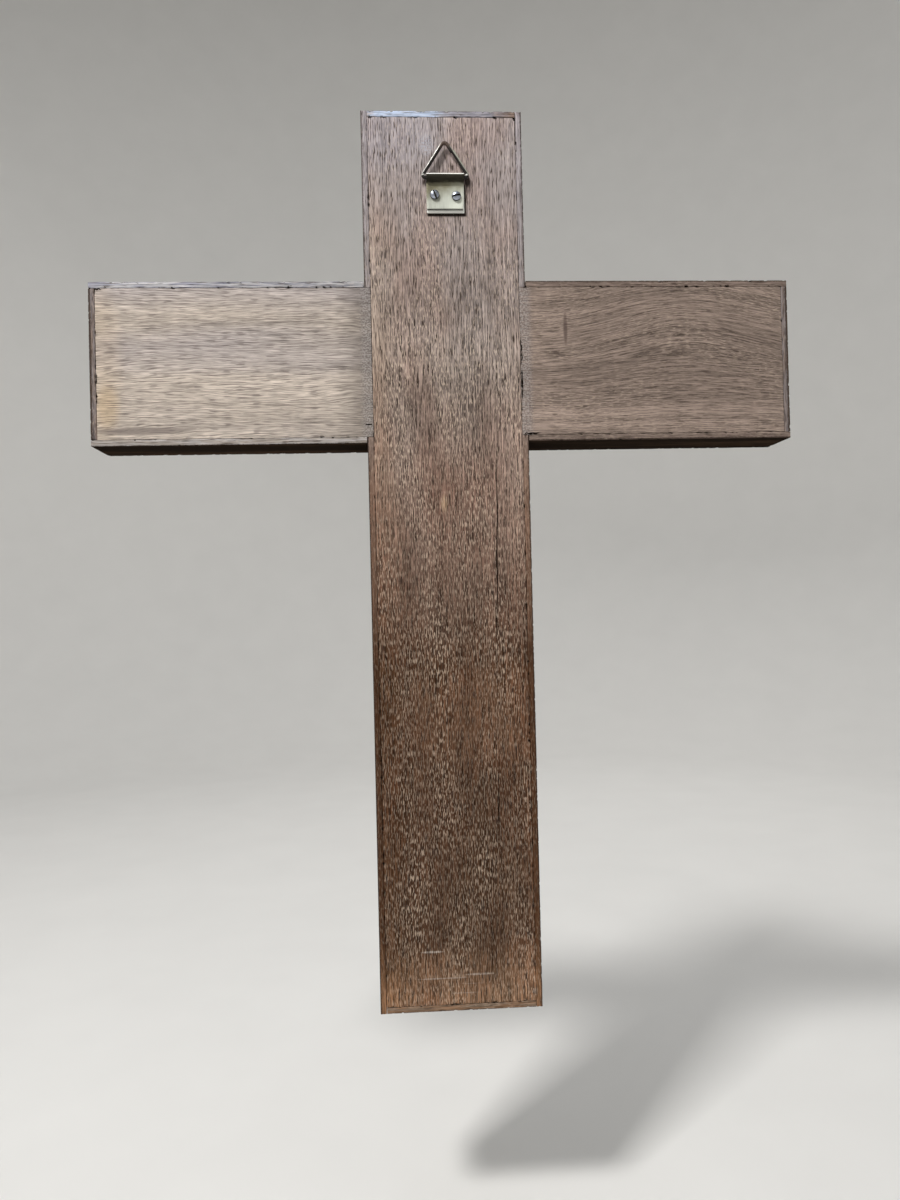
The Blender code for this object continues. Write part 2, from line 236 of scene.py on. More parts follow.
class MetalColours(bpy.types.PropertyGroup):
    """Colours of the hanger's metals"""
    # Pale brass low on the plate and olive near the roll: partly tarnish, partly painted reflection
    brass: colour_value("Brass", "Pale worn brass low on the plate", (0.590, 0.610, 0.540))
    olive: colour_value("Olive", "Tarnished brass near the roll", (0.240, 0.223, 0.149))
    # Painted highlight on the roll's top and on the back leaf's edges
    highlight_brass: colour_value("Brass bright", "Rubbed brass along the edges", (0.980, 0.980, 0.930))
    # Painted shade on the plate's roll, under the front leaf and on the screws, with a little soiling round
    # the screw heads
    dirt_and_shade: colour_value("Grime", "Dirt on the roll and in hollows", (0.018, 0.016, 0.011))
    # Painted highlight on the ring's left leg and round its feet
    ring_highlight: colour_value("Ring bright", "Bare metal on the ring's outer side", (0.780, 0.765, 0.715))
    # Partly tarnish, partly painted shade, as the right leg is turned from the light
    ring_green: colour_value("Ring green", "Green grey tarnish on the right leg", (0.500, 0.500, 0.420))
    # Painted shade and dark reflection on the ring's inner side
    ring_shade: colour_value("Ring dark", "Near black tarnish on the inner side", (0.016, 0.013, 0.011))
    ring_brown: colour_value("Ring brown", "Brown tarnish of the ring's apex", (0.100, 0.066, 0.050))
    steel: colour_value("Steel", "Steel of the screws", (0.470, 0.510, 0.600))


class StudioValues(bpy.types.PropertyGroup):
    """Camera, lights and surroundings"""
    camera_place: FloatVectorProperty(
        name="Camera place", description="Where the camera stands", size=3, subtype='TRANSLATION',
        default=(0.02427, 0.37738, -0.19573))
    camera_target: FloatVectorProperty(
        name="Camera target", description="Point of the back that the camera looks at", size=3,
        subtype='TRANSLATION', default=(0.00204, -0.0020, -0.1919))
    camera_roll: FloatProperty(
        name="Camera roll", description="How far the picture leans to the left", subtype='ANGLE',
        default=math.radians(-1.36))
    lens: FloatProperty(
        name="Lens", description="Focal length in millimetres", default=27.03, min=10, max=200)
    floor_drop: length_value("Floor drop", "Height from the cross's foot to the floor", 0.10)
    room_radius: length_value("Room radius", "Radius of the pale round room", 1.8, 0.5, 10.0)
    cove: length_value("Cove", "Radius of the bend from floor to wall", 0.6, 0.1, 5.0)
    wall_height: length_value("Wall height", "Height of the wall above its bend", 3.6, 0.5, 10.0)
    room_colour: colour_value("Room colour", "Paint of the floor and the wall", (0.80, 0.79, 0.77))
    key_power: FloatProperty(name="Key power", description="Main light in watts", default=14.8, min=0)
    sky_power: FloatProperty(name="Sky power", description="Light from above in watts", default=3.4, min=0)
    front_power: FloatProperty(name="Front power", description="Light on the front", default=5.0, min=0)


GROUPS = {
    "cross_wear": WearSizes,
    "cross_woods": WoodColours,
    "cross_hanger": HangerSizes,
    "cross_metals": MetalColours,
    "cross_studio": StudioValues,
}


class Value:
    """A socket in a material's nodes. Arithmetic on it adds Math nodes."""

    def __init__(self, finish, socket):
        self.finish = finish
        self.socket = socket

    def math(self, operation, second=0.0, first=None):
        inputs = {0: self if first is None else first, 1: second}
        return self.finish.node('Math', {'operation': operation}, inputs)

    def __add__(self, other):
        return self.math('ADD', other)

    def __sub__(self, other):
        return self.math('SUBTRACT', other)

    def __rsub__(self, other):
        return self.math('SUBTRACT', self, other)

    def __mul__(self, other):
        return self.math('MULTIPLY', other)

    def __truediv__(self, other):
        return self.math('DIVIDE', other)

    def __abs__(self):
        return self.math('ABSOLUTE')

    def at_least(self, other):
        return self.math('MAXIMUM', other)

    def at_most(self, other):
        return self.math('MINIMUM', other)

    __radd__ = __add__
    __rmul__ = __mul__


class Finish:
    """One material, with the nodes that make it."""

    def __init__(self, name):
        self.material = bpy.data.materials.new(name)
        self.material.use_nodes = True
        self.nodes = self.material.node_tree.nodes
        self.links = self.material.node_tree.links
        self.shader = self.nodes["Principled BSDF"]
        place = self.node('TexCoord', {}, {}, 3)
        millimetres = self.node('VectorMath', {'operation': 'SCALE'}, {0: place, 3: 1 / MM})
        self.x, self.y, self.z = (self.node('SeparateXYZ', {}, {0: millimetres}, axis) for axis in range(3))
        self.right = MIDDLE_X / MM - self.x
        self.down = TOP_Z / MM - self.z
        self.inward = BACK_Y / MM - self.y

    def node(self, kind, settings, inputs, output=0):
        made = self.nodes.new("ShaderNode" + kind)
        for name, value in settings.items():
            if name == "stops":
                self.set_stops(made.color_ramp.elements, value)
            else:
                setattr(made, name, value)
        for key, value in inputs.items():
            self.feed(made.inputs[key], value)
        return Value(self, made.outputs[output])

    def set_stops(self, elements, stops):
        while len(elements) < len(stops):
            elements.new(1.0)
        for element, (position, colour) in zip(elements, stops):
            element.position = position
            element.color = (*colour, 1.0)

    def feed(self, socket, value):
        if isinstance(value, Value):
            self.links.new(value.socket, socket)
        elif isinstance(value, (int, float)):
            socket.default_value = value
        elif len(socket.default_value) == 4:
            socket.default_value = (*value, 1.0)
        else:
            socket.default_value = value

    def noise(self, along, across, deep, detail=0.0, roughness=0.5):
        place = self.node('CombineXYZ', {}, {0: along, 1: across, 2: deep})
        sockets = {'Vector': place, 'Scale': 1.0, 'Detail': detail, 'Roughness': roughness}
        return self.node('TexNoise', {}, sockets)

    def cloud(self, size, detail=1.0):
        return self.noise(self.x / size, self.z / size, self.y / size, detail)

    def step(self, value, low, high):
        return self.node('MapRange', {'interpolation_type': 'SMOOTHSTEP'}, {0: value, 1: low, 2: high})

    def ramp(self, value, stops):
        return self.node('ValToRGB', {'stops': stops}, {0: value})

    def mix(self, first, second, factor, blend='MIX'):
        settings = {'data_type': 'RGBA', 'blend_type': blend}
        return self.node('Mix', settings, {0: factor, 6: first, 7: second}, 2)

    def scale(self, colour, factor):
        return self.node('VectorMath', {'operation': 'SCALE'}, {0: colour, 3: factor})

    def blot(self, place, softness=0.9):
        """1 inside an ellipse on the back, falling to 0 at its edge, in millimetres."""
        right, down, half_width, half_height = place
        across = (self.right - right) / half_width
        along = (self.down - down) / half_height
        distance = across * across + along * along
        return 1.0 - self.step(distance, 1.0 - softness, 1.0 + softness)

    def shade(self, **values):
        """Sets inputs of the shader, which are named with _ for each space."""
        for name, value in values.items():
            self.feed(self.shader.inputs[name.replace("_", " ")], value)

    def finish(self, colour, roughness, height, relief=METAL_RELIEF, metallic=0.0):
        bump = self.node('Bump', {}, {'Strength': 1.0, 'Distance': relief, 'Height': height})
        self.shade(Base_Color=colour, Roughness=roughness, Metallic=metallic, Normal=bump)
        return self.material


def grain(finish, along, across, deep, wander=4.0, curl=0.3, fine=0.55):
    """The lines of sawn wood, in millimetres: fine fibres, broad bands, dark pores and pale dust."""
    drift = finish.noise(along / 90, across / 14, deep / 14) - 0.5
    ripple = finish.noise(along / 11, across / 3, deep / 3) - 0.5
    line = across + drift * wander + ripple * curl
    fibre = finish.noise(along / 13, line / fine, deep / 0.9, 2.0, 0.65)
    band = finish.noise(along / 170, line / 4.6, deep / 7, 2.0)
    patch = finish.noise(along / 45, line / 13, deep / 9)
    pore = finish.noise(along / 6, line / fine, deep / 0.8 + 40, 1.0)
    dust = finish.noise(along / 2.6, line / (fine * 0.75), deep / 0.75 - 70, 1.0)
    speck = finish.noise(along / 0.8, across / 0.6, deep / 0.6, 1.0)
    return {
        'line': line,
        'fibre': fibre,
        'band': band,
        'patch': patch,
        'pore': finish.step(pore, 0.54, 0.67),
        'dust': finish.step(dust, 0.52, 0.63),
        'speck': speck}


def bare_wood(finish, base, lines, woods, pores, dust, contrast):
    """Bare sawn wood: the base colour broken up by bands, fibres, open pores and the dust in them."""
    tone = 1.0 + (lines['band'] - 0.5) * 0.9 + (lines['fibre'] - 0.5) * contrast
    colour = finish.scale(base, tone.at_least(0.2))
    colour = finish.mix(colour, woods.pore, lines['pore'] * pores)
    dusty = lines['dust'] * (0.35 + finish.step(lines['patch'], 0.25, 0.75) * 0.65)
    pale = finish.mix(finish.scale(base, 2.1), woods.dust, 0.62)
    return finish.mix(colour, pale, dusty * dust)


def lacquered(finish, bare, lines, woods, rim=0.42):
    """Bare wood on the back, and dark lacquer on every other face, which also paints the walls of the
    cracks and seams dark as painted shade.
    """
    ragged = finish.inward + (lines['speck'] - 0.5) * 0.5
    # Faces deeper than the rim take the lacquer, so crack and seam walls get painted shade
    mask = finish.step(ragged, rim, rim + 0.25)
    thinned = finish.step(lines['band'] + lines['fibre'] * 0.5, 0.72, 0.95)
    colour = finish.mix(bare, finish.mix(woods.lacquer, woods.worn_lacquer, thinned), mask)
    bare_rough = 0.68 + lines['fibre'] * 0.16
    coat_rough = 0.42 + lines['speck'] * 0.14
    roughness = bare_rough + (coat_rough - bare_rough) * mask
    height = lines['fibre'] * 0.6 + lines['speck'] * 0.2 - lines['pore'] * 0.4
    height = height * (1.0 - mask * 0.7)
    front = finish.step(finish.inward, FRONT_START / MM, FRONT_START / MM + 0.8)
    coat = front * (0.22 + lines['band'] * 0.16)
    finish.shade(Specular_IOR_Level=0.0, Coat_Roughness=0.32, Coat_Weight=coat)
    return finish.finish(colour, roughness, height, WOOD_RELIEF)


def upright_tone(finish, woods, cloud):
    """Grey brown at the head, dark red brown low down, and paler again at the foot."""
    drop = finish.down / ((TOP_Z - BOTTOM_Z) / MM) + (cloud - 0.5) * 0.06
    return finish.ramp(drop, [
        (0.00, woods.head), (0.28, woods.waist), (0.44, woods.middle), (0.62, woods.shin),
        (0.92, woods.shin), (0.99, woods.foot)])


def painted_plate_shadow(finish):
    """Painted shadow on the wood along the lower and right edges of the hanger, and beside the ring's right
    foot.
    """
    middle = (MIDDLE_X - (PLATE_LOW.x + PLATE_HIGH.x) / 2) / MM + 0.45
    half_width = (PLATE_HIGH.x - PLATE_LOW.x) / 2 / MM
    bar = (TOP_Z - PIVOT.z) / MM
    bottom = (TOP_Z - PLATE_LOW.z) / MM
    beside = 1.0 - finish.step(abs(finish.right - middle), half_width, half_width + 0.5)
    beside = beside * finish.step(finish.down, bar, bar + 3.0)
    under = beside * (1.0 - finish.step(finish.down, bottom + 0.9, bottom + 1.4))
    corner = finish.blot((middle + half_width + 1.1, bar + 0.6, 1.2, 2.6), 0.7)
    return (under * 0.95).at_least(corner * 0.9)


def upright_wood(woods):
    """Bare wood with warm and cool areas, scratches at the foot and painted shadow round the hanger."""
    finish = Finish("aged upright wood")
    lines = grain(finish, finish.z, finish.x, finish.inward, curl=0.12, fine=0.46)
    cloud = finish.noise(finish.z / 60, finish.x / 24, finish.inward / 26, 2.0)
    base = upright_tone(finish, woods, cloud)
    reddish = finish.mix(base, (1.0, 0.80, 0.72), 0.5, 'MULTIPLY')
    base = finish.mix(base, reddish, finish.step(cloud, 0.38, 0.70))
    base = finish.mix(base, COOL_GREY, finish.blot(COOL_CORNER) * 0.35)
    tan = 1.0 - finish.step(finish.right + (lines['patch'] - 0.5) * 14.0, -31.0, -17.0)
    tan = tan * finish.step(finish.down, 25.0, 60.0)
    tanned = finish.scale(finish.mix(base, (1.0, 0.86, 0.66), 0.5, 'MULTIPLY'), 1.18)
    base = finish.mix(base, tanned, tan * 0.8)
    paler = finish.step(finish.right, 12.0, 30.0) * finish.step(finish.down, 90.0, 140.0) * 0.22
    for place, strength in SHADES:
        paler = paler + finish.blot(place) * strength
    base = finish.scale(base, 1.0 + paler)
    stripe = finish.noise(finish.z / 80, lines['line'] / 0.9, finish.inward / 3, 1.0)
    striped = finish.step(finish.right, -8.0, 14.0)
    base = finish.scale(base, 1.0 + (stripe - 0.5) * striped * 1.3)
    base = finish.mix(base, KNOT_TAN, finish.blot(KNOT) * 0.45)
    calm = 1.0 - finish.step(finish.down, 20.0, 110.0)
    dust = 1.0 - calm * 0.45
    colour = bare_wood(finish, base, lines, woods, pores=0.95, dust=dust, contrast=4.6 - calm * 2.2)
    broken = finish.step(lines['dust'] + lines['fibre'], 0.25, 0.8)
    for place, strength in SCRATCHES:
        scratch = finish.blot(place, 0.8) * broken
        colour = finish.mix(colour, woods.scratch, scratch * strength)
    scuff = finish.blot(SCUFF, 0.8) * finish.step(lines['speck'], 0.42, 0.62)
    colour = finish.mix(colour, SCUFF_BLUE, scuff * 0.6)
    # Painted shadow of the hanger, in the lacquer's near black
    colour = finish.mix(colour, woods.lacquer, painted_plate_shadow(finish))
    return lacquered(finish, colour, lines, woods)


def glue_crumbs(finish, colour, lines, woods):
    """Pale and dark crumbs of old glue on an arm, in a band beside the upright."""
    near = 1.0 - finish.step(abs(finish.right) + (lines['speck'] - 0.5) * 3.0, 34.5, 37.5)
    crumbs = finish.mix(woods.dash, woods.crumb, finish.step(lines['speck'], 0.42, 0.58))
    return finish.mix(colour, crumbs, near * 0.55)


def left_arm_wood(woods):
    """Pale straw-brown wood with fine wavy lines and short dark dashes along it."""
    finish = Finish("pale left arm wood")
    lines = grain(finish, finish.x, finish.z, finish.inward, wander=6.0, curl=0.9, fine=0.37)
    cloud = finish.noise(finish.x / 70, finish.z / 16, finish.inward / 20, 1.0)
    greyer = finish.scale(finish.mix(woods.left_arm, (0.86, 0.88, 0.96), 1.0, 'MULTIPLY'), 0.92)
    middle = finish.blot(GREY_MIDDLE)
    top = 1.0 - finish.step(finish.down, 74.0, 88.0)
    grey = middle * 0.8 + top * 1.1 + (cloud - 0.5) * 1.2
    base = finish.mix(woods.left_arm, greyer, grey.at_most(1.0))
    yellow = finish.blot(YELLOW_END) * 0.24 + finish.blot(YELLOW_SPOT) * 0.42
    base = finish.mix(base, woods.stain, yellow)
    shaded = finish.step(finish.right, -50.0, -33.0)
    base = finish.scale(base, 1.0 - shaded * 0.42)
    colour = bare_wood(finish, base, lines, woods, pores=0.34, dust=0.14, contrast=3.0)
    dash = finish.noise(finish.x / 6, lines['line'] / 0.42, finish.inward + 11.0)
    colour = finish.mix(colour, woods.dash, finish.step(dash, 0.60, 0.72) * 0.6)
    streak = finish.blot(DARK_STREAK, 0.8) * finish.step(lines['fibre'], 0.25, 0.60)
    colour = finish.mix(colour, woods.dash, streak * 0.75)
    colour = glue_crumbs(finish, colour, lines, woods)
    return lacquered(finish, colour, lines, woods)


def right_arm_wood(woods):
    """Mid-brown wood whose growth lines arch over the arm."""
    finish = Finish("brown right arm wood")
    hump = 1.0 - finish.step(abs(finish.right - 103.0), 0.0, 64.0)
    arch = finish.z - hump * (9.0 - finish.step(finish.down, 90.0, 126.0) * 8.0)
    lines = grain(finish, finish.x, arch, finish.inward, wander=3.0, fine=0.45)
    ring = finish.noise(finish.x / 400, lines['line'] / 2.6, finish.inward / 30, 1.0)
    base = finish.scale(woods.right_arm, 0.86 + finish.step(ring, 0.30, 0.70) * 0.24)
    low = finish.step(finish.down, 117.0, 136.0)
    inner_side = 1.0 - finish.step(finish.right, 36.0, 66.0)
    base = finish.scale(base, 1.0 + low * 0.24 + inner_side * 0.18)
    colour = bare_wood(finish, base, lines, woods, pores=0.50, dust=0.40, contrast=2.8)
    colour = glue_crumbs(finish, colour, lines, woods)
    mark = finish.blot(DARK_MARK) * finish.step(lines['fibre'], 0.2, 0.55)
    colour = finish.mix(colour, MARK_BLACK, mark * 0.7)
    return lacquered(finish, colour, lines, woods)


def side_tone(finish, woods, along, across):
    """The upright's tone by height, darker and cooler beside the head and warmer beside the foot."""
    cloud = finish.noise(along / 14, across / 1.6, finish.inward / 6, 2.0)
    base = upright_tone(finish, woods, cloud)
    cooler = finish.mix(base, (0.98, 1.02, 1.08), 1.0, 'MULTIPLY')
    warmer = finish.mix(base, (1.12, 1.02, 0.92), 1.0, 'MULTIPLY')
    return finish.mix(cooler, warmer, finish.step(finish.down, 120.0, 160.0))


def head_end_tone(finish, woods, along, across):
    """Blue grey on the left, a painted sky sheen, then violet grey, and brown at the right end."""
    cloud = finish.noise(along / 6, across / 1.4, finish.inward / 6, 2.0)
    share = finish.right / (2 * HALF_WIDTH / MM) + 0.5 + (cloud - 0.5) * 0.25
    return finish.ramp(share, [
        (0.04, woods.head), (0.10, woods.sheen_blue_strip), (0.44, woods.sheen_blue_strip), (0.54, woods.violet_strip),
        (0.80, woods.violet_strip), (0.90, woods.brown_strip)])


def patches(first, second):
    """A tone that goes between two of the wood's colours, which are given by their names."""

    def tone(finish, woods, along, across):
        cloud = finish.noise(along / 14, across / 1.1, finish.inward / 6, 2.0)
        return finish.mix(getattr(woods, first), getattr(woods, second), finish.step(cloud, 0.42, 0.62))

    return tone


def strip_wood(name, woods, tone, upright, outline, rim=0.30):
    """The sawn back of an edge strip, with a thin dark line along its outer edge, partly lacquer and partly
    painted shadow.

    The outline function gives how far inside the cross's outer edge a point is, in millimetres.
    """
    finish = Finish(name)
    along, across = (finish.z, finish.x) if upright else (finish.x, finish.z)
    lines = grain(finish, along, across, finish.inward)
    base = tone(finish, woods, along, across)
    colour = bare_wood(finish, base, lines, woods, pores=0.6, dust=0.34, contrast=2.4)
    # Dark line along the outer edge: partly lacquer round the edge, partly painted shadow
    depth = outline(finish) + (lines['speck'] - 0.5) * 0.7
    colour = finish.mix(colour, woods.pore, (1.0 - finish.step(depth, 0.25, 0.75)) * 0.85)
    return lacquered(finish, colour, lines, woods, rim)


def strip_finishes(woods):
    """One finish for each kind of edge strip."""
    side_edge = HALF_WIDTH / MM
    end_edge = REACH / MM
    arm_top = (TOP_Z - ARM_TOP_Z) / MM
    arm_bottom = (TOP_Z - ARM_BOTTOM_Z) / MM
    foot_edge = (TOP_Z - BOTTOM_Z) / MM
    umber = patches("umber_strip", "right_arm")
    ends = patches("end_strip", "umber_strip")
    toe = patches("toe_strip", "foot")
    # The left arm's top strip carries painted bluish sheen
    pale = patches("pale_strip", "grey_strip")
    low = patches("low_strip", "crumb")

    def strip(name, tone, upright, outline, rim=0.30):
        return strip_wood(name, woods, tone, upright, outline, rim)

    return {
        "head_end": strip("head strip wood", head_end_tone, False, lambda f: f.down + 0.35, 0.10),
        "foot_end": strip("toe strip wood", toe, False, lambda f: foot_edge + 0.3 - f.down),
        "side": strip("side strip wood", side_tone, True, lambda f: side_edge - abs(f.right)),
        "arm_end": strip("end strip wood", ends, True, lambda f: end_edge - 0.45 - abs(f.right)),
        "left_top": strip("pale strip wood", pale, False, lambda f: f.down, 0.10),
        "left_low": strip("low strip wood", low, False, lambda f: arm_bottom + 0.3 - f.down),
        "right_top": strip("umber top strip wood", umber, False, lambda f: f.down - arm_top, 0.10),
        "right_low": strip("umber low strip wood", umber, False, lambda f: arm_bottom - 0.1 - f.down)}


def plate_brass(metals, sizes):
    """Roll with a painted highlight along its top and painted shade below it, then brass that pales from
    olive to greenish grey down the leaf, partly tarnish and partly painted reflection, with painted
    highlights at the lower right and on the back leaf.
    """
    finish = Finish("aged plate brass")
    below = PIVOT.z / MM - finish.z
    brushed = finish.noise(finish.x / 0.25, finish.z / 6, finish.y / 3, 2.0)
    cloud = finish.noise(finish.x / 4.5, finish.z / 4.5, finish.y / 4, 2.0)
    speck = finish.cloud(0.5)
    # Olive near the roll paling down the leaf: partly tarnish, partly painted reflection that darkens
    # towards the fold
    pale = finish.step(below - finish.x * 0.35 + (cloud - 0.5) * 6.0, 2.0, 10.0)
    colour = finish.mix(metals.olive, metals.brass, pale)
    # Painted highlight: brighter to the right, and most at the leaf's lower right
    highlighted = finish.step(below - finish.x * 0.9, 11.0, 17.0)
    colour = finish.scale(colour, 0.66 + brushed * 0.40 + cloud * 0.28 - finish.x * 0.022 + highlighted * 0.25)
    front_edge = (PIVOT.z - PLATE_LOW.z - sizes.leaf_step) / MM
    # Painted highlights on the back leaf's edges and along the roll's top
    back_leaf = finish.step(-1.0 * finish.y, 1.0, 1.15) * finish.step(below, 3.0, 5.0)
    top = 1.0 - finish.step(below + (brushed - 0.5) * 0.3, -1.0, -0.7)
    painted_highlight = (back_leaf + top).at_most(1.0)
    colour = finish.mix(colour, metals.highlight_brass, painted_highlight)
    # Painted shade and dark reflection on the roll's lower half
    painted_shade = finish.step(below + (cloud - 0.5) * 0.3, -0.9, -0.6)
    painted_shade = painted_shade * (1.0 - finish.step(below + (cloud - 0.5) * 1.2, 1.6, 2.7))
    # Painted shadow of the front leaf's lower edge on the back leaf
    crevice = finish.step(below, front_edge - 0.16, front_edge - 0.06)
    crevice = crevice * (1.0 - finish.step(below, front_edge + 0.05, front_edge + 0.28))
    crevice = crevice * finish.step(finish.x, -7.5, -7.2)
    painted_shade = painted_shade.at_least(crevice)
    colour = finish.mix(colour, metals.dirt_and_shade, painted_shade * 0.96)
    finish.shade(Specular_IOR_Level=0.15)
    roughness = 0.48 + painted_shade * 0.20 + (brushed - 0.5) * 0.16
    height = brushed * 0.5 + speck * 0.35
    return finish.finish(colour, roughness, height, metallic=0.55 - painted_shade * 0.3 - painted_highlight * 0.4)


def ring_brass(metals, out, offset):
    """Painted highlight along the left leg's outer side and round the feet, duller green grey on the right
    leg's outer side, painted shade and dark reflection on the inner side, and a brown apex.

    The wire's middle line on a leg lies at the offset along the leg's outward direction.
    """
    finish = Finish("worn ring brass")
    cloud = finish.noise(finish.x / 2.6, finish.z / 2.6, finish.y / 1.4, 2.0)
    speck = finish.cloud(0.35)
    outward = abs(finish.x) * out.x + finish.z * out.z - offset / MM
    height = finish.z - PIVOT.z / MM
    # The left leg faces the light and is painted bright. The right leg is painted duller.
    left = finish.step(finish.x, -0.6, 0.6)
    bare = finish.step(outward - left * 0.1 + (cloud - 0.5) * 0.25, 0.16, 0.38)
    bare = bare * finish.step(height, 0.9 - left * 0.7, 1.4 - left * 0.7)
    inner = 1.0 - finish.step(outward, 0.0, 0.4) * (1.0 - left)
    # Painted highlight round the feet
    corner = finish.step(height, 0.50, 0.75) * (1.0 - finish.step(height, 1.05, 1.35)) * inner
    side = finish.mix(metals.ring_green, metals.ring_highlight, left)
    # Painted shade and dark reflection on the wire's inner side. Its outer side takes the leg's colour.
    colour = finish.mix(metals.ring_shade, side, bare)
    colour = finish.mix(colour, metals.ring_highlight, corner * 0.7)
    apex = finish.step(finish.z + (cloud - 0.5) * 2.0, -2.2, 0.2)
    colour = finish.mix(colour, metals.ring_brown, apex * (0.9 - bare * left * 0.6))
    roughness = 0.46 - bare * 0.22 + apex * 0.15 + (speck - 0.5) * 0.12
    return finish.finish(colour, roughness, speck, metallic=0.35 + bare * left * 0.6)


def screw_steel(name, metals, sizes, top, turn):
    """Blue grey steel with fine pits, a little soiling round the head's base, and painted shade in the slot
    and round the lower side of the head.

    The top is the middle of the head's dome, and the turn is the slot's.
    """
    finish = Finish(name)
    speck = finish.cloud(0.3)
    cloud = finish.cloud(1.3)
    colour = finish.scale(metals.steel, 0.62 + cloud * 0.7)
    # Painted shade round the head's lower side and in the slot, over a little soiling round its base
    rim = finish.step(top.y / MM - finish.y, 0.45, 0.95)
    lower = finish.step(top.z / MM - finish.z, -0.3, 1.2)
    across = abs((finish.z - top.z / MM) * math.cos(turn) - (finish.x - top.x / MM) * math.sin(turn))
    half_slot = sizes.slot_width / MM / 2
    slot = 1.0 - finish.step(across, half_slot + 0.05, half_slot + 0.14)
    dirt_and_shade_mask = (rim * (0.15 + lower * 0.8) + slot).at_most(1.0)
    colour = finish.mix(colour, metals.dirt_and_shade, dirt_and_shade_mask)
    return finish.finish(colour, 0.24 + speck * 0.16 + dirt_and_shade_mask * 0.2, speck, metallic=1.0 - dirt_and_shade_mask * 0.5)


def only_select(piece):
    """Selects one piece, which an operator then acts on."""
    bpy.ops.object.select_all(action='DESELECT')
    piece.select_set(True)
    bpy.context.view_layer.objects.active = piece


@contextmanager
def edit_mode(piece, select='EDGE'):
    """Edit mode on one piece, with nothing in it selected."""
    only_select(piece)
    bpy.ops.object.mode_set(mode='EDIT')
    bpy.ops.mesh.select_mode(type=select)
    bpy.ops.mesh.select_all(action='DESELECT')
    yield
    bpy.ops.object.mode_set(mode='OBJECT')


def select_where(piece, kind, test):
    """In edit mode, selects only the verts, edges or faces that pass a test."""
    bpy.ops.mesh.select_all(action='DESELECT')
    shape = bmesh.from_edit_mesh(piece.data)
    for item in getattr(shape, kind):
        if test(item):
            item.select_set(True)
    shape.select_flush_mode()
    bmesh.update_edit_mesh(piece.data)


def lowest(item):
    """The height of an edge's or a face's lowest point."""
    return min(vertex.co.z for vertex in item.verts)


def extrude(move):
    bpy.ops.mesh.extrude_region_move(TRANSFORM_OT_translate={"value": move})


def face_outwards():
    bpy.ops.mesh.select_all(action='SELECT')
    bpy.ops.mesh.normals_make_consistent(inside=False)


def apply_place(piece):
    only_select(piece)
    bpy.ops.object.transform_apply(location=True, rotation=True, scale=True)


def add_shape(add, name, scale=(1, 1, 1), **settings):
    """Adds a mesh with one of Blender's primitive operators, and applies its place and its scale."""
    bpy.ops.object.select_all(action='DESELECT')
    add(**settings)
    piece = bpy.context.active_object
    piece.name = name
    piece.data.name = name
    piece.scale = scale
    apply_place(piece)
    return piece


def soften_edges(piece, width, degrees):
    """Bevels the edges that are sharper than an angle."""
    soft = piece.modifiers.new("soft edges", 'BEVEL')
    soft.width = width
    soft.segments = 2
    soft.angle_limit = math.radians(degrees)
    apply_modifiers(piece)


def apply_modifiers(piece):
    only_select(piece)
    for modifier in list(piece.modifiers):
        bpy.ops.object.modifier_apply(modifier=modifier.name)


def shade(piece, degrees):
    only_select(piece)
    bpy.ops.object.shade_smooth_by_angle(angle=math.radians(degrees))


def settle(piece, node, material, body="cross", degrees=35):
    """Smooths a finished piece, gives it its material and its body, and hides the imported solid that it
    stands for.
    """
    shade(piece, degrees)
    piece.data.materials.clear()
    piece.data.materials.append(material)
    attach(piece, body)
    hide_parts(node)


def add_block(name, low, high, rounding):
    """A sawn block from corner to corner, with all its edges rounded."""
    middle = (low + high) / 2
    block = add_shape(bpy.ops.mesh.primitive_cube_add, name, high - low, size=1, location=middle)
    with edit_mode(block):
        bpy.ops.mesh.select_all(action='SELECT')
        bpy.ops.mesh.bevel(offset=rounding, offset_type='OFFSET', segments=2, affect='EDGES')
    return block


def slice_along(piece, axis, count):
    """Cuts every edge that runs along one axis into that many lengths, or a few more."""

    def runs_along(edge):
        line = edge.verts[1].co - edge.verts[0].co
        return abs(line[axis]) > 0.999 * line.length

    passes = [count]
    if count > MOST_LENGTHS:
        rough = math.ceil(count / MOST_LENGTHS)
        passes = [rough, math.ceil(count / rough)]
    for lengths in passes:
        if lengths > 1:
            with edit_mode(piece):
                select_where(piece, "edges", runs_along)
                bpy.ops.mesh.subdivide(number_cuts=lengths - 1)


def weigh_edges(piece, low, high, reach):
    """A vertex group that is full on the block's edges and fades out over a short reach."""
    group = piece.vertex_groups.new(name="edges")
    for vertex in piece.data.vertices:
        depths = sorted(min(vertex.co[axis] - low[axis], high[axis] - vertex.co[axis]) for axis in range(3))
        nearness = 1.0 - depths[1] / reach
        if nearness > 0:
            group.add([vertex.index], nearness, 'REPLACE')


def wear_down(piece, name, depth, size, contrast, intensity):
    """Presses the edges in where a cloudy texture is bright, so that the piece never grows."""
    texture = bpy.data.textures.get(name) or bpy.data.textures.new(name, 'CLOUDS')
    texture.noise_scale = size
    texture.noise_depth = 2
    texture.contrast = contrast
    texture.intensity = intensity
    texture.use_clamp = True
    press = piece.modifiers.new(name, 'DISPLACE')
    press.texture = texture
    press.texture_coords = 'LOCAL'
    press.direction = 'NORMAL'
    press.mid_level = 0.0
    press.strength = -depth
    press.vertex_group = "edges"


def on_back(right, down, inward=0.0):
    """A point given in millimetres right of the upright's middle and down from its top."""
    return Vector((MIDDLE_X - right * MM, BACK_Y - inward * MM, TOP_Z - down * MM))


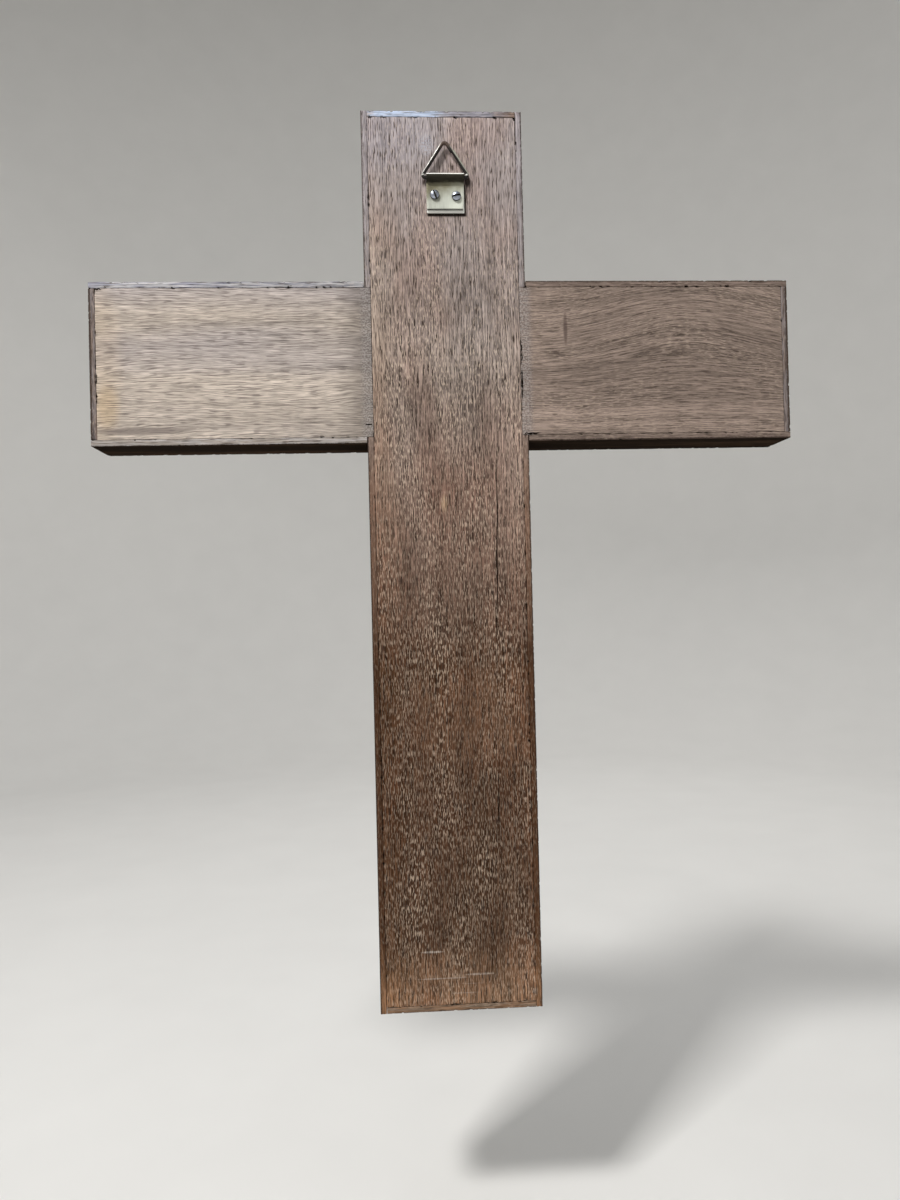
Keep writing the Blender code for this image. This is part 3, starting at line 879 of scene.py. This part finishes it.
def add_split_cutter(start, end, width, depth, seed):
    """A thin blade with tapered ends that wanders a little, to cut a crack into the back."""
    line = end - start
    blade = add_shape(bpy.ops.mesh.primitive_cube_add, "split_cutter", size=1)
    slice_along(blade, 2, 24)
    for vertex in blade.data.vertices:
        share = min(max(vertex.co.z + 0.5, 0.0), 1.0)
        taper = 0.06 + 0.94 * math.sin(math.pi * share) ** 0.6
        uneven = 1.0 + 0.7 * noise.noise(Vector((share * 11, seed, 0)))
        drift = 0.6 * width * noise.noise(Vector((share * 5, seed, 9)))
        vertex.co.x = vertex.co.x * width * taper * uneven + drift
        vertex.co.y *= 2 * depth * taper
        vertex.co.z *= line.length
    across = Vector((0, 1, 0)).cross(line.normalized())
    turn = Matrix((across, Vector((0, 1, 0)), line.normalized())).transposed().to_4x4()
    blade.matrix_world = Matrix.Translation((start + end) / 2) @ turn
    apply_place(blade)
    return blade


def cut(piece, cutter):
    """Cuts one closed shape out of a piece and removes the cutter."""
    modifier = piece.modifiers.new("cut", 'BOOLEAN')
    modifier.operation = 'DIFFERENCE'
    modifier.solver = 'EXACT'
    modifier.object = cutter
    apply_modifiers(piece)
    bpy.data.objects.remove(cutter, do_unlink=True)


def screw_place(node, y=BACK_Y):
    """The middle of a screw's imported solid, on the wood's back or at another depth."""
    low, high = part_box(node)
    middle = (low + high) / 2
    return Vector((middle.x, y, middle.z))


def drill(piece, hanger):
    """Cuts a hole with clearance for each of the two screws, a little deeper than their points."""
    for node in ("left_screw", "right_screw"):
        depth = BACK_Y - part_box(node)[0].y + hanger.hole_play
        top = -BACK_Y + 0.5 * depth
        place = screw_place(node) + Vector((0, (top - depth) / 2, 0))
        hole = add_shape(
            bpy.ops.mesh.primitive_cylinder_add, "screw_hole", vertices=40, depth=depth + top,
            radius=hanger.shank / 2 + hanger.hole_play, location=place, rotation=(math.pi / 2, 0, 0))
        cut(piece, hole)


def add_worn_block(name, low, high, cells, wear, splits=()):
    """A board or strip from corner to corner, split, abraded and chipped."""
    block = add_block(name, low, high, wear.rounding)
    for axis in range(3):
        slice_along(block, axis, max(2, round((high - low)[axis] / cells[axis])))
    for seed, (start, end, width, depth) in enumerate(splits):
        cut(block, add_split_cutter(on_back(*start), on_back(*end), width * MM, depth * MM, seed + 1))
    weigh_edges(block, low, high, wear.reach)
    wear_down(block, "soft rub", wear.rub, size=0.0045, contrast=1.2, intensity=1.0)
    wear_down(block, "chips", wear.chip, size=0.0017, contrast=5.0, intensity=0.0)
    apply_modifiers(block)
    block.vertex_groups.clear()
    return block


def add_board(name, node, wear, splits):
    """One of the three boards, moved out all round until it fills part of the seams."""
    low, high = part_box(node)
    growth = Vector((wear.filled, 0, wear.filled))
    cells = (wear.board_cell, 2 * wear.board_cell, wear.board_cell)
    return add_worn_block(name, low - growth, high + growth, cells, wear, splits)


def lies_in(point, node):
    low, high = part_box(node)
    return all(low[axis] <= point[axis] <= high[axis] for axis in range(3))


def strip_box(node, wear, others):
    """A strip's corners, moved out until they fill part of the seams.

    Its inner side always has a seam, and its ends have one where another piece starts just past them.
    """
    low, high = (corner.copy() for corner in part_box(node))
    middle = (low + high) / 2
    thin = 0 if high.z - low.z > high.x - low.x else 2
    long = 2 - thin
    for corner, way in ((low, -1), (high, 1)):
        past = middle.copy()
        past[long] = corner[long] + way * 0.5 * MM
        if any(lies_in(past, other) for other in others):
            corner[long] += way * wear.filled
    if middle[thin] > CROSSING[thin]:
        low[thin] -= wear.filled
    else:
        high[thin] += wear.filled
    return low, high


class WALLCROSS_OT_upright(bpy.types.Operator):
    """Model the upright board with its drying cracks"""
    bl_idname = "wall_cross.upright"
    bl_label = "Upright"

    def execute(self, context):
        scene = context.scene
        board = add_board("aged_upright", "upright_board", scene.cross_wear, UPRIGHT_SPLITS)
        drill(board, scene.cross_hanger)
        settle(board, "upright_board", upright_wood(scene.cross_woods))
        return {'FINISHED'}


class WALLCROSS_OT_arms(bpy.types.Operator):
    """Model the two arm boards with the splits at their corners"""
    bl_idname = "wall_cross.arms"
    bl_label = "Arms"

    def execute(self, context):
        wear = context.scene.cross_wear
        woods = context.scene.cross_woods
        left = add_board("aged_left_arm", "left_arm_board", wear, LEFT_ARM_SPLITS)
        settle(left, "left_arm_board", left_arm_wood(woods))
        right = add_board("aged_right_arm", "right_arm_board", wear, RIGHT_ARM_SPLITS)
        settle(right, "right_arm_board", right_arm_wood(woods))
        return {'FINISHED'}


class WALLCROSS_OT_edge_strips(bpy.types.Operator):
    """Model the twelve thin strips round the cross's edges"""
    bl_idname = "wall_cross.edge_strips"
    bl_label = "Edge strips"

    def execute(self, context):
        wear = context.scene.cross_wear
        cell = wear.strip_cell
        finishes = strip_finishes(context.scene.cross_woods)
        strips = {"head_end_strip": "head_end", "foot_end_strip": "foot_end"}
        for side in ("left", "right"):
            strips[side + "_arm_top_strip"] = side + "_top"
            strips[side + "_arm_bottom_strip"] = side + "_low"
            strips[side + "_head_side_strip"] = "side"
            strips[side + "_foot_side_strip"] = "side"
            strips[side + "_arm_end_strip"] = "arm_end"
        boards = ("upright_board", "left_arm_board", "right_arm_board")
        for node, place in strips.items():
            others = [other for other in (*strips, *boards) if other != node]
            cells = (cell, 3 * cell, cell)
            strip = add_worn_block("aged_" + node, *strip_box(node, wear, others), cells, wear)
            settle(strip, node, finishes[place])
        return {'FINISHED'}


def spin_round(steps, angle, centre, axis):
    """Spins what is selected by the right-hand rule. The spin tool itself turns the other way."""
    bpy.ops.mesh.spin(steps=steps, angle=-angle, center=centre, axis=axis)


class WALLCROSS_OT_hanger_plate(bpy.types.Operator):
    """Model the folded brass plate, rolled round the ring's bar"""
    bl_idname = "wall_cross.hanger_plate"
    bl_label = "Hanger plate"

    def execute(self, context):
        sizes = context.scene.cross_hanger
        half_sheet = sizes.sheet / 2
        roll = PLATE_HIGH.z - PIVOT.z - half_sheet
        width = PLATE_HIGH.x - PLATE_LOW.x
        back_leaf = PIVOT.z - PLATE_LOW.z
        front_leaf = back_leaf - sizes.leaf_step
        front_y = -roll + sizes.sheet + sizes.leaf_gap
        bend_y = front_y + sizes.reverse_bend
        bend_drop = math.sqrt((roll + sizes.reverse_bend) ** 2 - bend_y ** 2)
        turn = math.atan2(bend_drop, bend_y)

        plate = add_shape(
            bpy.ops.mesh.primitive_grid_add, "brass_plate", (width, back_leaf, 1), size=1,
            x_subdivisions=16, y_subdivisions=14, rotation=(math.pi / 2, 0, 0),
            location=(0, -roll, PIVOT.z - back_leaf / 2))
        with edit_mode(plate):
            select_where(plate, "edges", lambda edge: lowest(edge) > PIVOT.z - TINY)
            spin_round(30, math.pi + turn, PIVOT, (-1, 0, 0))
            centre = PIVOT + Vector((0, bend_y, -bend_drop))
            spin_round(8, turn, centre, (1, 0, 0))
            reach = front_leaf - bend_drop
            for _ in range(12):
                extrude((0, 0, -reach / 12))
        front = [vertex for vertex in plate.data.vertices if abs(vertex.co.y - front_y) < 10 * TINY]
        for vertex in front:
            across = vertex.co.x / (width / 2)
            down = min(1.0, max(0.0, (PIVOT.z - vertex.co.z - bend_drop) / reach))
            vertex.co.y += sizes.bow * (1 - across ** 2) * down ** 2
            vertex.co.y += sizes.lift * (1 - across) * down ** 2
            vertex.co.x += sizes.sliver * max(0.0, -across) * down
        with edit_mode(plate, 'VERT'):
            select_where(plate, "verts", lambda vertex: len(vertex.link_edges) == 2)
            bpy.ops.mesh.bevel(offset=sizes.corner, segments=4, affect='VERTICES')
            face_outwards()
        thick = plate.modifiers.new("sheet", 'SOLIDIFY')
        thick.thickness = sizes.sheet
        thick.offset = 0
        apply_modifiers(plate)
        drill(plate, sizes)
        soften_edges(plate, sizes.sheet / 6, 50)
        material = plate_brass(context.scene.cross_metals, sizes)
        settle(plate, "hanger_plate", material, degrees=40)
        return {'FINISHED'}


class WALLCROSS_OT_hanger_ring(bpy.types.Operator):
    """Model the triangular wire ring that the cross hangs by"""
    bl_idname = "wall_cross.hanger_ring"
    bl_label = "Hanger ring"

    def execute(self, context):
        sizes = context.scene.cross_hanger
        radius = sizes.wire / 2
        foot_bend = sizes.foot_bend + radius
        apex_bend = sizes.apex_bend + radius
        foot = Vector((RING_HIGH.x - radius - foot_bend, 0, RING_LOW.z + radius + foot_bend))
        apex = Vector((0, 0, RING_HIGH.z - radius - apex_bend))
        leg = apex - foot
        facing = math.atan2(leg.z, leg.x) - math.acos((foot_bend - apex_bend) / leg.length)
        out = Vector((math.cos(facing), 0, math.sin(facing)))
        up_leg = apex + out * apex_bend - foot - out * foot_bend

        ring = add_shape(
            bpy.ops.mesh.primitive_circle_add, "wire_ring", vertices=24, radius=radius,
            fill_type='NOTHING', rotation=(0, math.pi / 2, 0), location=(0, 0, PIVOT.z))
        with edit_mode(ring, 'VERT'):
            bpy.ops.mesh.select_all(action='SELECT')
            extrude((foot.x, 0, 0))
            spin_round(12, math.pi / 2 + facing, foot, (0, -1, 0))
            extrude(up_leg)
            spin_round(6, math.pi / 2 - facing, apex, (0, -1, 0))
        mirror = ring.modifiers.new("other half", 'MIRROR')
        mirror.merge_threshold = 10 * TINY
        apply_modifiers(ring)
        with edit_mode(ring, 'VERT'):
            bpy.ops.mesh.select_all(action='SELECT')
            bpy.ops.mesh.remove_doubles(threshold=5 * TINY)
            face_outwards()
        foot_end = foot + out * foot_bend
        self.part_wire(ring, foot_end, up_leg.normalized(), out, sizes)
        offset = apex.dot(out) + apex_bend
        material = ring_brass(context.scene.cross_metals, out, offset)
        settle(ring, "hanger_ring", material, "ring", 60)
        return {'FINISHED'}

    def part_wire(self, ring, foot_end, up_leg, out, sizes):
        """Parts the wire on the right leg, where its lower end stands out past the upper one.

        The leg's lower end and its two directions are given for the left leg and mirrored here.
        """
        mirror = Vector((-1, 1, 1))
        start, along, aside = (vector * mirror for vector in (foot_end, up_leg, out))
        joint = start + along * (RING_HIGH.z - sizes.joint_drop - start.z) / along.z

        def on_leg(face):
            long = max(vertex.co.z for vertex in face.verts) - lowest(face) > sizes.joint_drop
            return long and face.calc_center_median().x < 0

        def on_lower_end(vertex):
            below = all((face.calc_center_median() - joint).dot(along) < 0 for face in vertex.link_faces)
            return vertex.is_boundary and below

        with edit_mode(ring, 'VERT'):
            select_where(ring, "faces", on_leg)
            bpy.ops.mesh.bisect(plane_co=joint, plane_no=along)
            bpy.ops.mesh.edge_split(type='EDGE')
            select_where(ring, "verts", on_lower_end)
            bpy.ops.transform.translate(value=aside * sizes.joint_step - along * sizes.joint_gap)
            bpy.ops.mesh.select_all(action='SELECT')
            bpy.ops.mesh.fill_holes(sides=0)
            face_outwards()


class WALLCROSS_OT_screws(bpy.types.Operator):
    """Model the two slotted round-head screws"""
    bl_idname = "wall_cross.screws"
    bl_label = "Screws"

    def execute(self, context):
        sizes = context.scene.cross_hanger
        for side, turn in (("left", sizes.left_slot), ("right", sizes.right_slot)):
            node = side + "_screw"
            screw = self.add_screw(f"slotted_{side}_screw", node, sizes)
            top = screw_place(node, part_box(node)[1].y)
            scale = (3 * sizes.shank, 2 * sizes.slot_depth, sizes.slot_width)
            cut(screw, add_shape(
                bpy.ops.mesh.primitive_cube_add, "slot_cutter", scale, size=1, location=top,
                rotation=(0, -turn, 0)))
            soften_edges(screw, sizes.slot_width / 8, 40)
            material = screw_steel(f"{side} screw steel", context.scene.cross_metals, sizes, top, turn)
            settle(screw, node, material, degrees=40)
        return {'FINISHED'}

    def add_screw(self, name, node, sizes):
        """A disc, drawn up into the domed head and down into the shank and its point."""
        low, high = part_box(node)
        radius = (high.x - low.x) / 2
        seat = high.y - sizes.head_height
        place = screw_place(node, seat)
        screw = add_shape(
            bpy.ops.mesh.primitive_circle_add, name, vertices=48, radius=radius, fill_type='NGON',
            location=place, rotation=(-math.pi / 2, 0, 0))
        steps = 7
        dome = sizes.head_height - sizes.head_rim
        with edit_mode(screw, 'FACE'):
            bpy.ops.mesh.select_all(action='SELECT')
            self.draw_out(sizes.head_rim, 1.0, place)
            for step in range(1, steps + 1):
                before = math.pi / 2 * (step - 1) / steps
                after = math.pi / 2 * min(step, steps - 0.3) / steps
                rise = dome * (math.sin(after) - math.sin(before))
                self.draw_out(rise, math.cos(after) / math.cos(before), place)
            select_where(screw, "faces", lambda face: (
                len(face.verts) > 4 and abs(face.calc_center_median().y - seat) < TINY))
            bpy.ops.mesh.inset(thickness=radius - sizes.shank / 2)
            self.draw_out(low.y + sizes.point - seat, 1.0, place)
            self.draw_out(-sizes.point, 0.06, place)
            face_outwards()
        return screw

    def draw_out(self, height, narrowing, centre):
        extrude((0, height, 0))
        bpy.ops.transform.resize(value=(narrowing, 1, narrowing), center_override=centre)


def add_area_light(name, place, target, size, power, colour):
    data = bpy.data.lights.new(name, 'AREA')
    data.shape = 'SQUARE'
    data.size = size
    data.energy = power
    data.color = colour
    lamp = bpy.data.objects.new(name, data)
    bpy.context.scene.collection.objects.link(lamp)
    lamp.location = place
    lamp.rotation_euler = (Vector(target) - Vector(place)).to_track_quat('-Z', 'Y').to_euler()
    lamp.visible_camera = False


class WALLCROSS_OT_studio(bpy.types.Operator):
    """Make the pale round room, the lights and the camera"""
    bl_idname = "wall_cross.studio"
    bl_label = "Studio"

    def execute(self, context):
        studio = context.scene.cross_studio
        self.make_room(studio)
        self.make_lights(context.scene, studio)
        self.make_camera(context.scene, studio)
        return {'FINISHED'}

    def make_room(self, studio):
        floor_z = BOTTOM_Z - studio.floor_drop
        floor_radius = studio.room_radius - studio.cove
        room = add_shape(
            bpy.ops.mesh.primitive_circle_add, "pale_room", vertices=96, radius=floor_radius,
            fill_type='NGON', location=(0, 0, floor_z))
        steps = 12
        with edit_mode(room):
            bpy.ops.mesh.select_all(action='SELECT')
            radius, height = floor_radius, 0.0
            for step in range(1, steps + 1):
                angle = math.pi / 2 * step / steps
                factor = (floor_radius + studio.cove * math.sin(angle)) / radius
                rise = studio.cove * (1 - math.cos(angle)) - height
                bpy.ops.mesh.extrude_edges_move(TRANSFORM_OT_translate={"value": (0, 0, rise)})
                bpy.ops.transform.resize(value=(factor, factor, 1))
                radius *= factor
                height += rise
                select_where(room, "edges", lambda edge: lowest(edge) > floor_z + height - 10 * TINY)
            bpy.ops.mesh.extrude_edges_move(TRANSFORM_OT_translate={"value": (0, 0, studio.wall_height)})
        shade(room, 40)
        finish = Finish("pale wall paint")
        soft = finish.cloud(60, 2.0)
        colour = finish.scale(studio.room_colour, 0.97 + soft * 0.06)
        room.data.materials.append(finish.finish(colour, 0.85 + soft * 0.1, soft, PAINT_RELIEF))

    def make_lights(self, scene, studio):
        for name, (place, target, size, colour) in LIGHTS.items():
            add_area_light(name, place, target, size, getattr(studio, name + "_power"), colour)
        world = bpy.data.worlds.new("pale surroundings")
        world.use_nodes = True
        background = world.node_tree.nodes["Background"]
        background.inputs["Color"].default_value = SURROUNDINGS_COLOUR
        background.inputs["Strength"].default_value = SURROUNDINGS_STRENGTH
        scene.world = world
        scene.view_settings.view_transform = 'Standard'

    def make_camera(self, scene, studio):
        data = bpy.data.cameras.new("photo camera")
        data.lens = studio.lens
        data.sensor_width = 36
        camera = bpy.data.objects.new("photo_camera", data)
        scene.collection.objects.link(camera)
        camera.location = studio.camera_place
        look = Vector(studio.camera_target) - Vector(studio.camera_place)
        aim = look.to_track_quat('-Z', 'Y').to_matrix()
        camera.rotation_euler = (aim @ Matrix.Rotation(studio.camera_roll, 3, 'Z')).to_euler()
        scene.camera = camera


STEPS = (
    WALLCROSS_OT_studio,
    WALLCROSS_OT_upright,
    WALLCROSS_OT_arms,
    WALLCROSS_OT_edge_strips,
    WALLCROSS_OT_hanger_plate,
    WALLCROSS_OT_hanger_ring,
    WALLCROSS_OT_screws,
)


class WALLCROSS_PT_panel(bpy.types.Panel):
    """Lists the steps that make the cross"""
    bl_label = "Wall Cross"
    bl_idname = "WALLCROSS_PT_panel"
    bl_space_type = 'VIEW_3D'
    bl_region_type = 'UI'
    bl_category = "Wall Cross"

    def draw(self, context):
        for step in STEPS:
            self.layout.operator(step.bl_idname)
        for group in GROUPS:
            values = getattr(context.scene, group)
            box = self.layout.box()
            for name in type(values).__annotations__:
                box.prop(values, name)


def register():
    for group, kind in GROUPS.items():
        bpy.utils.register_class(kind)
        setattr(bpy.types.Scene, group, PointerProperty(type=kind))
    for step in STEPS:
        bpy.utils.register_class(step)
    bpy.utils.register_class(WALLCROSS_PT_panel)


def unregister():
    bpy.utils.unregister_class(WALLCROSS_PT_panel)
    for step in reversed(STEPS):
        bpy.utils.unregister_class(step)
    for group, kind in reversed(GROUPS.items()):
        delattr(bpy.types.Scene, group)
        bpy.utils.unregister_class(kind)


def main():
    register()
    bpy.ops.wall_cross.studio()
    bpy.ops.wall_cross.upright()
    bpy.ops.wall_cross.arms()
    bpy.ops.wall_cross.edge_strips()
    bpy.ops.wall_cross.hanger_plate()
    bpy.ops.wall_cross.hanger_ring()
    bpy.ops.wall_cross.screws()


if __name__ == "__main__":
    main()
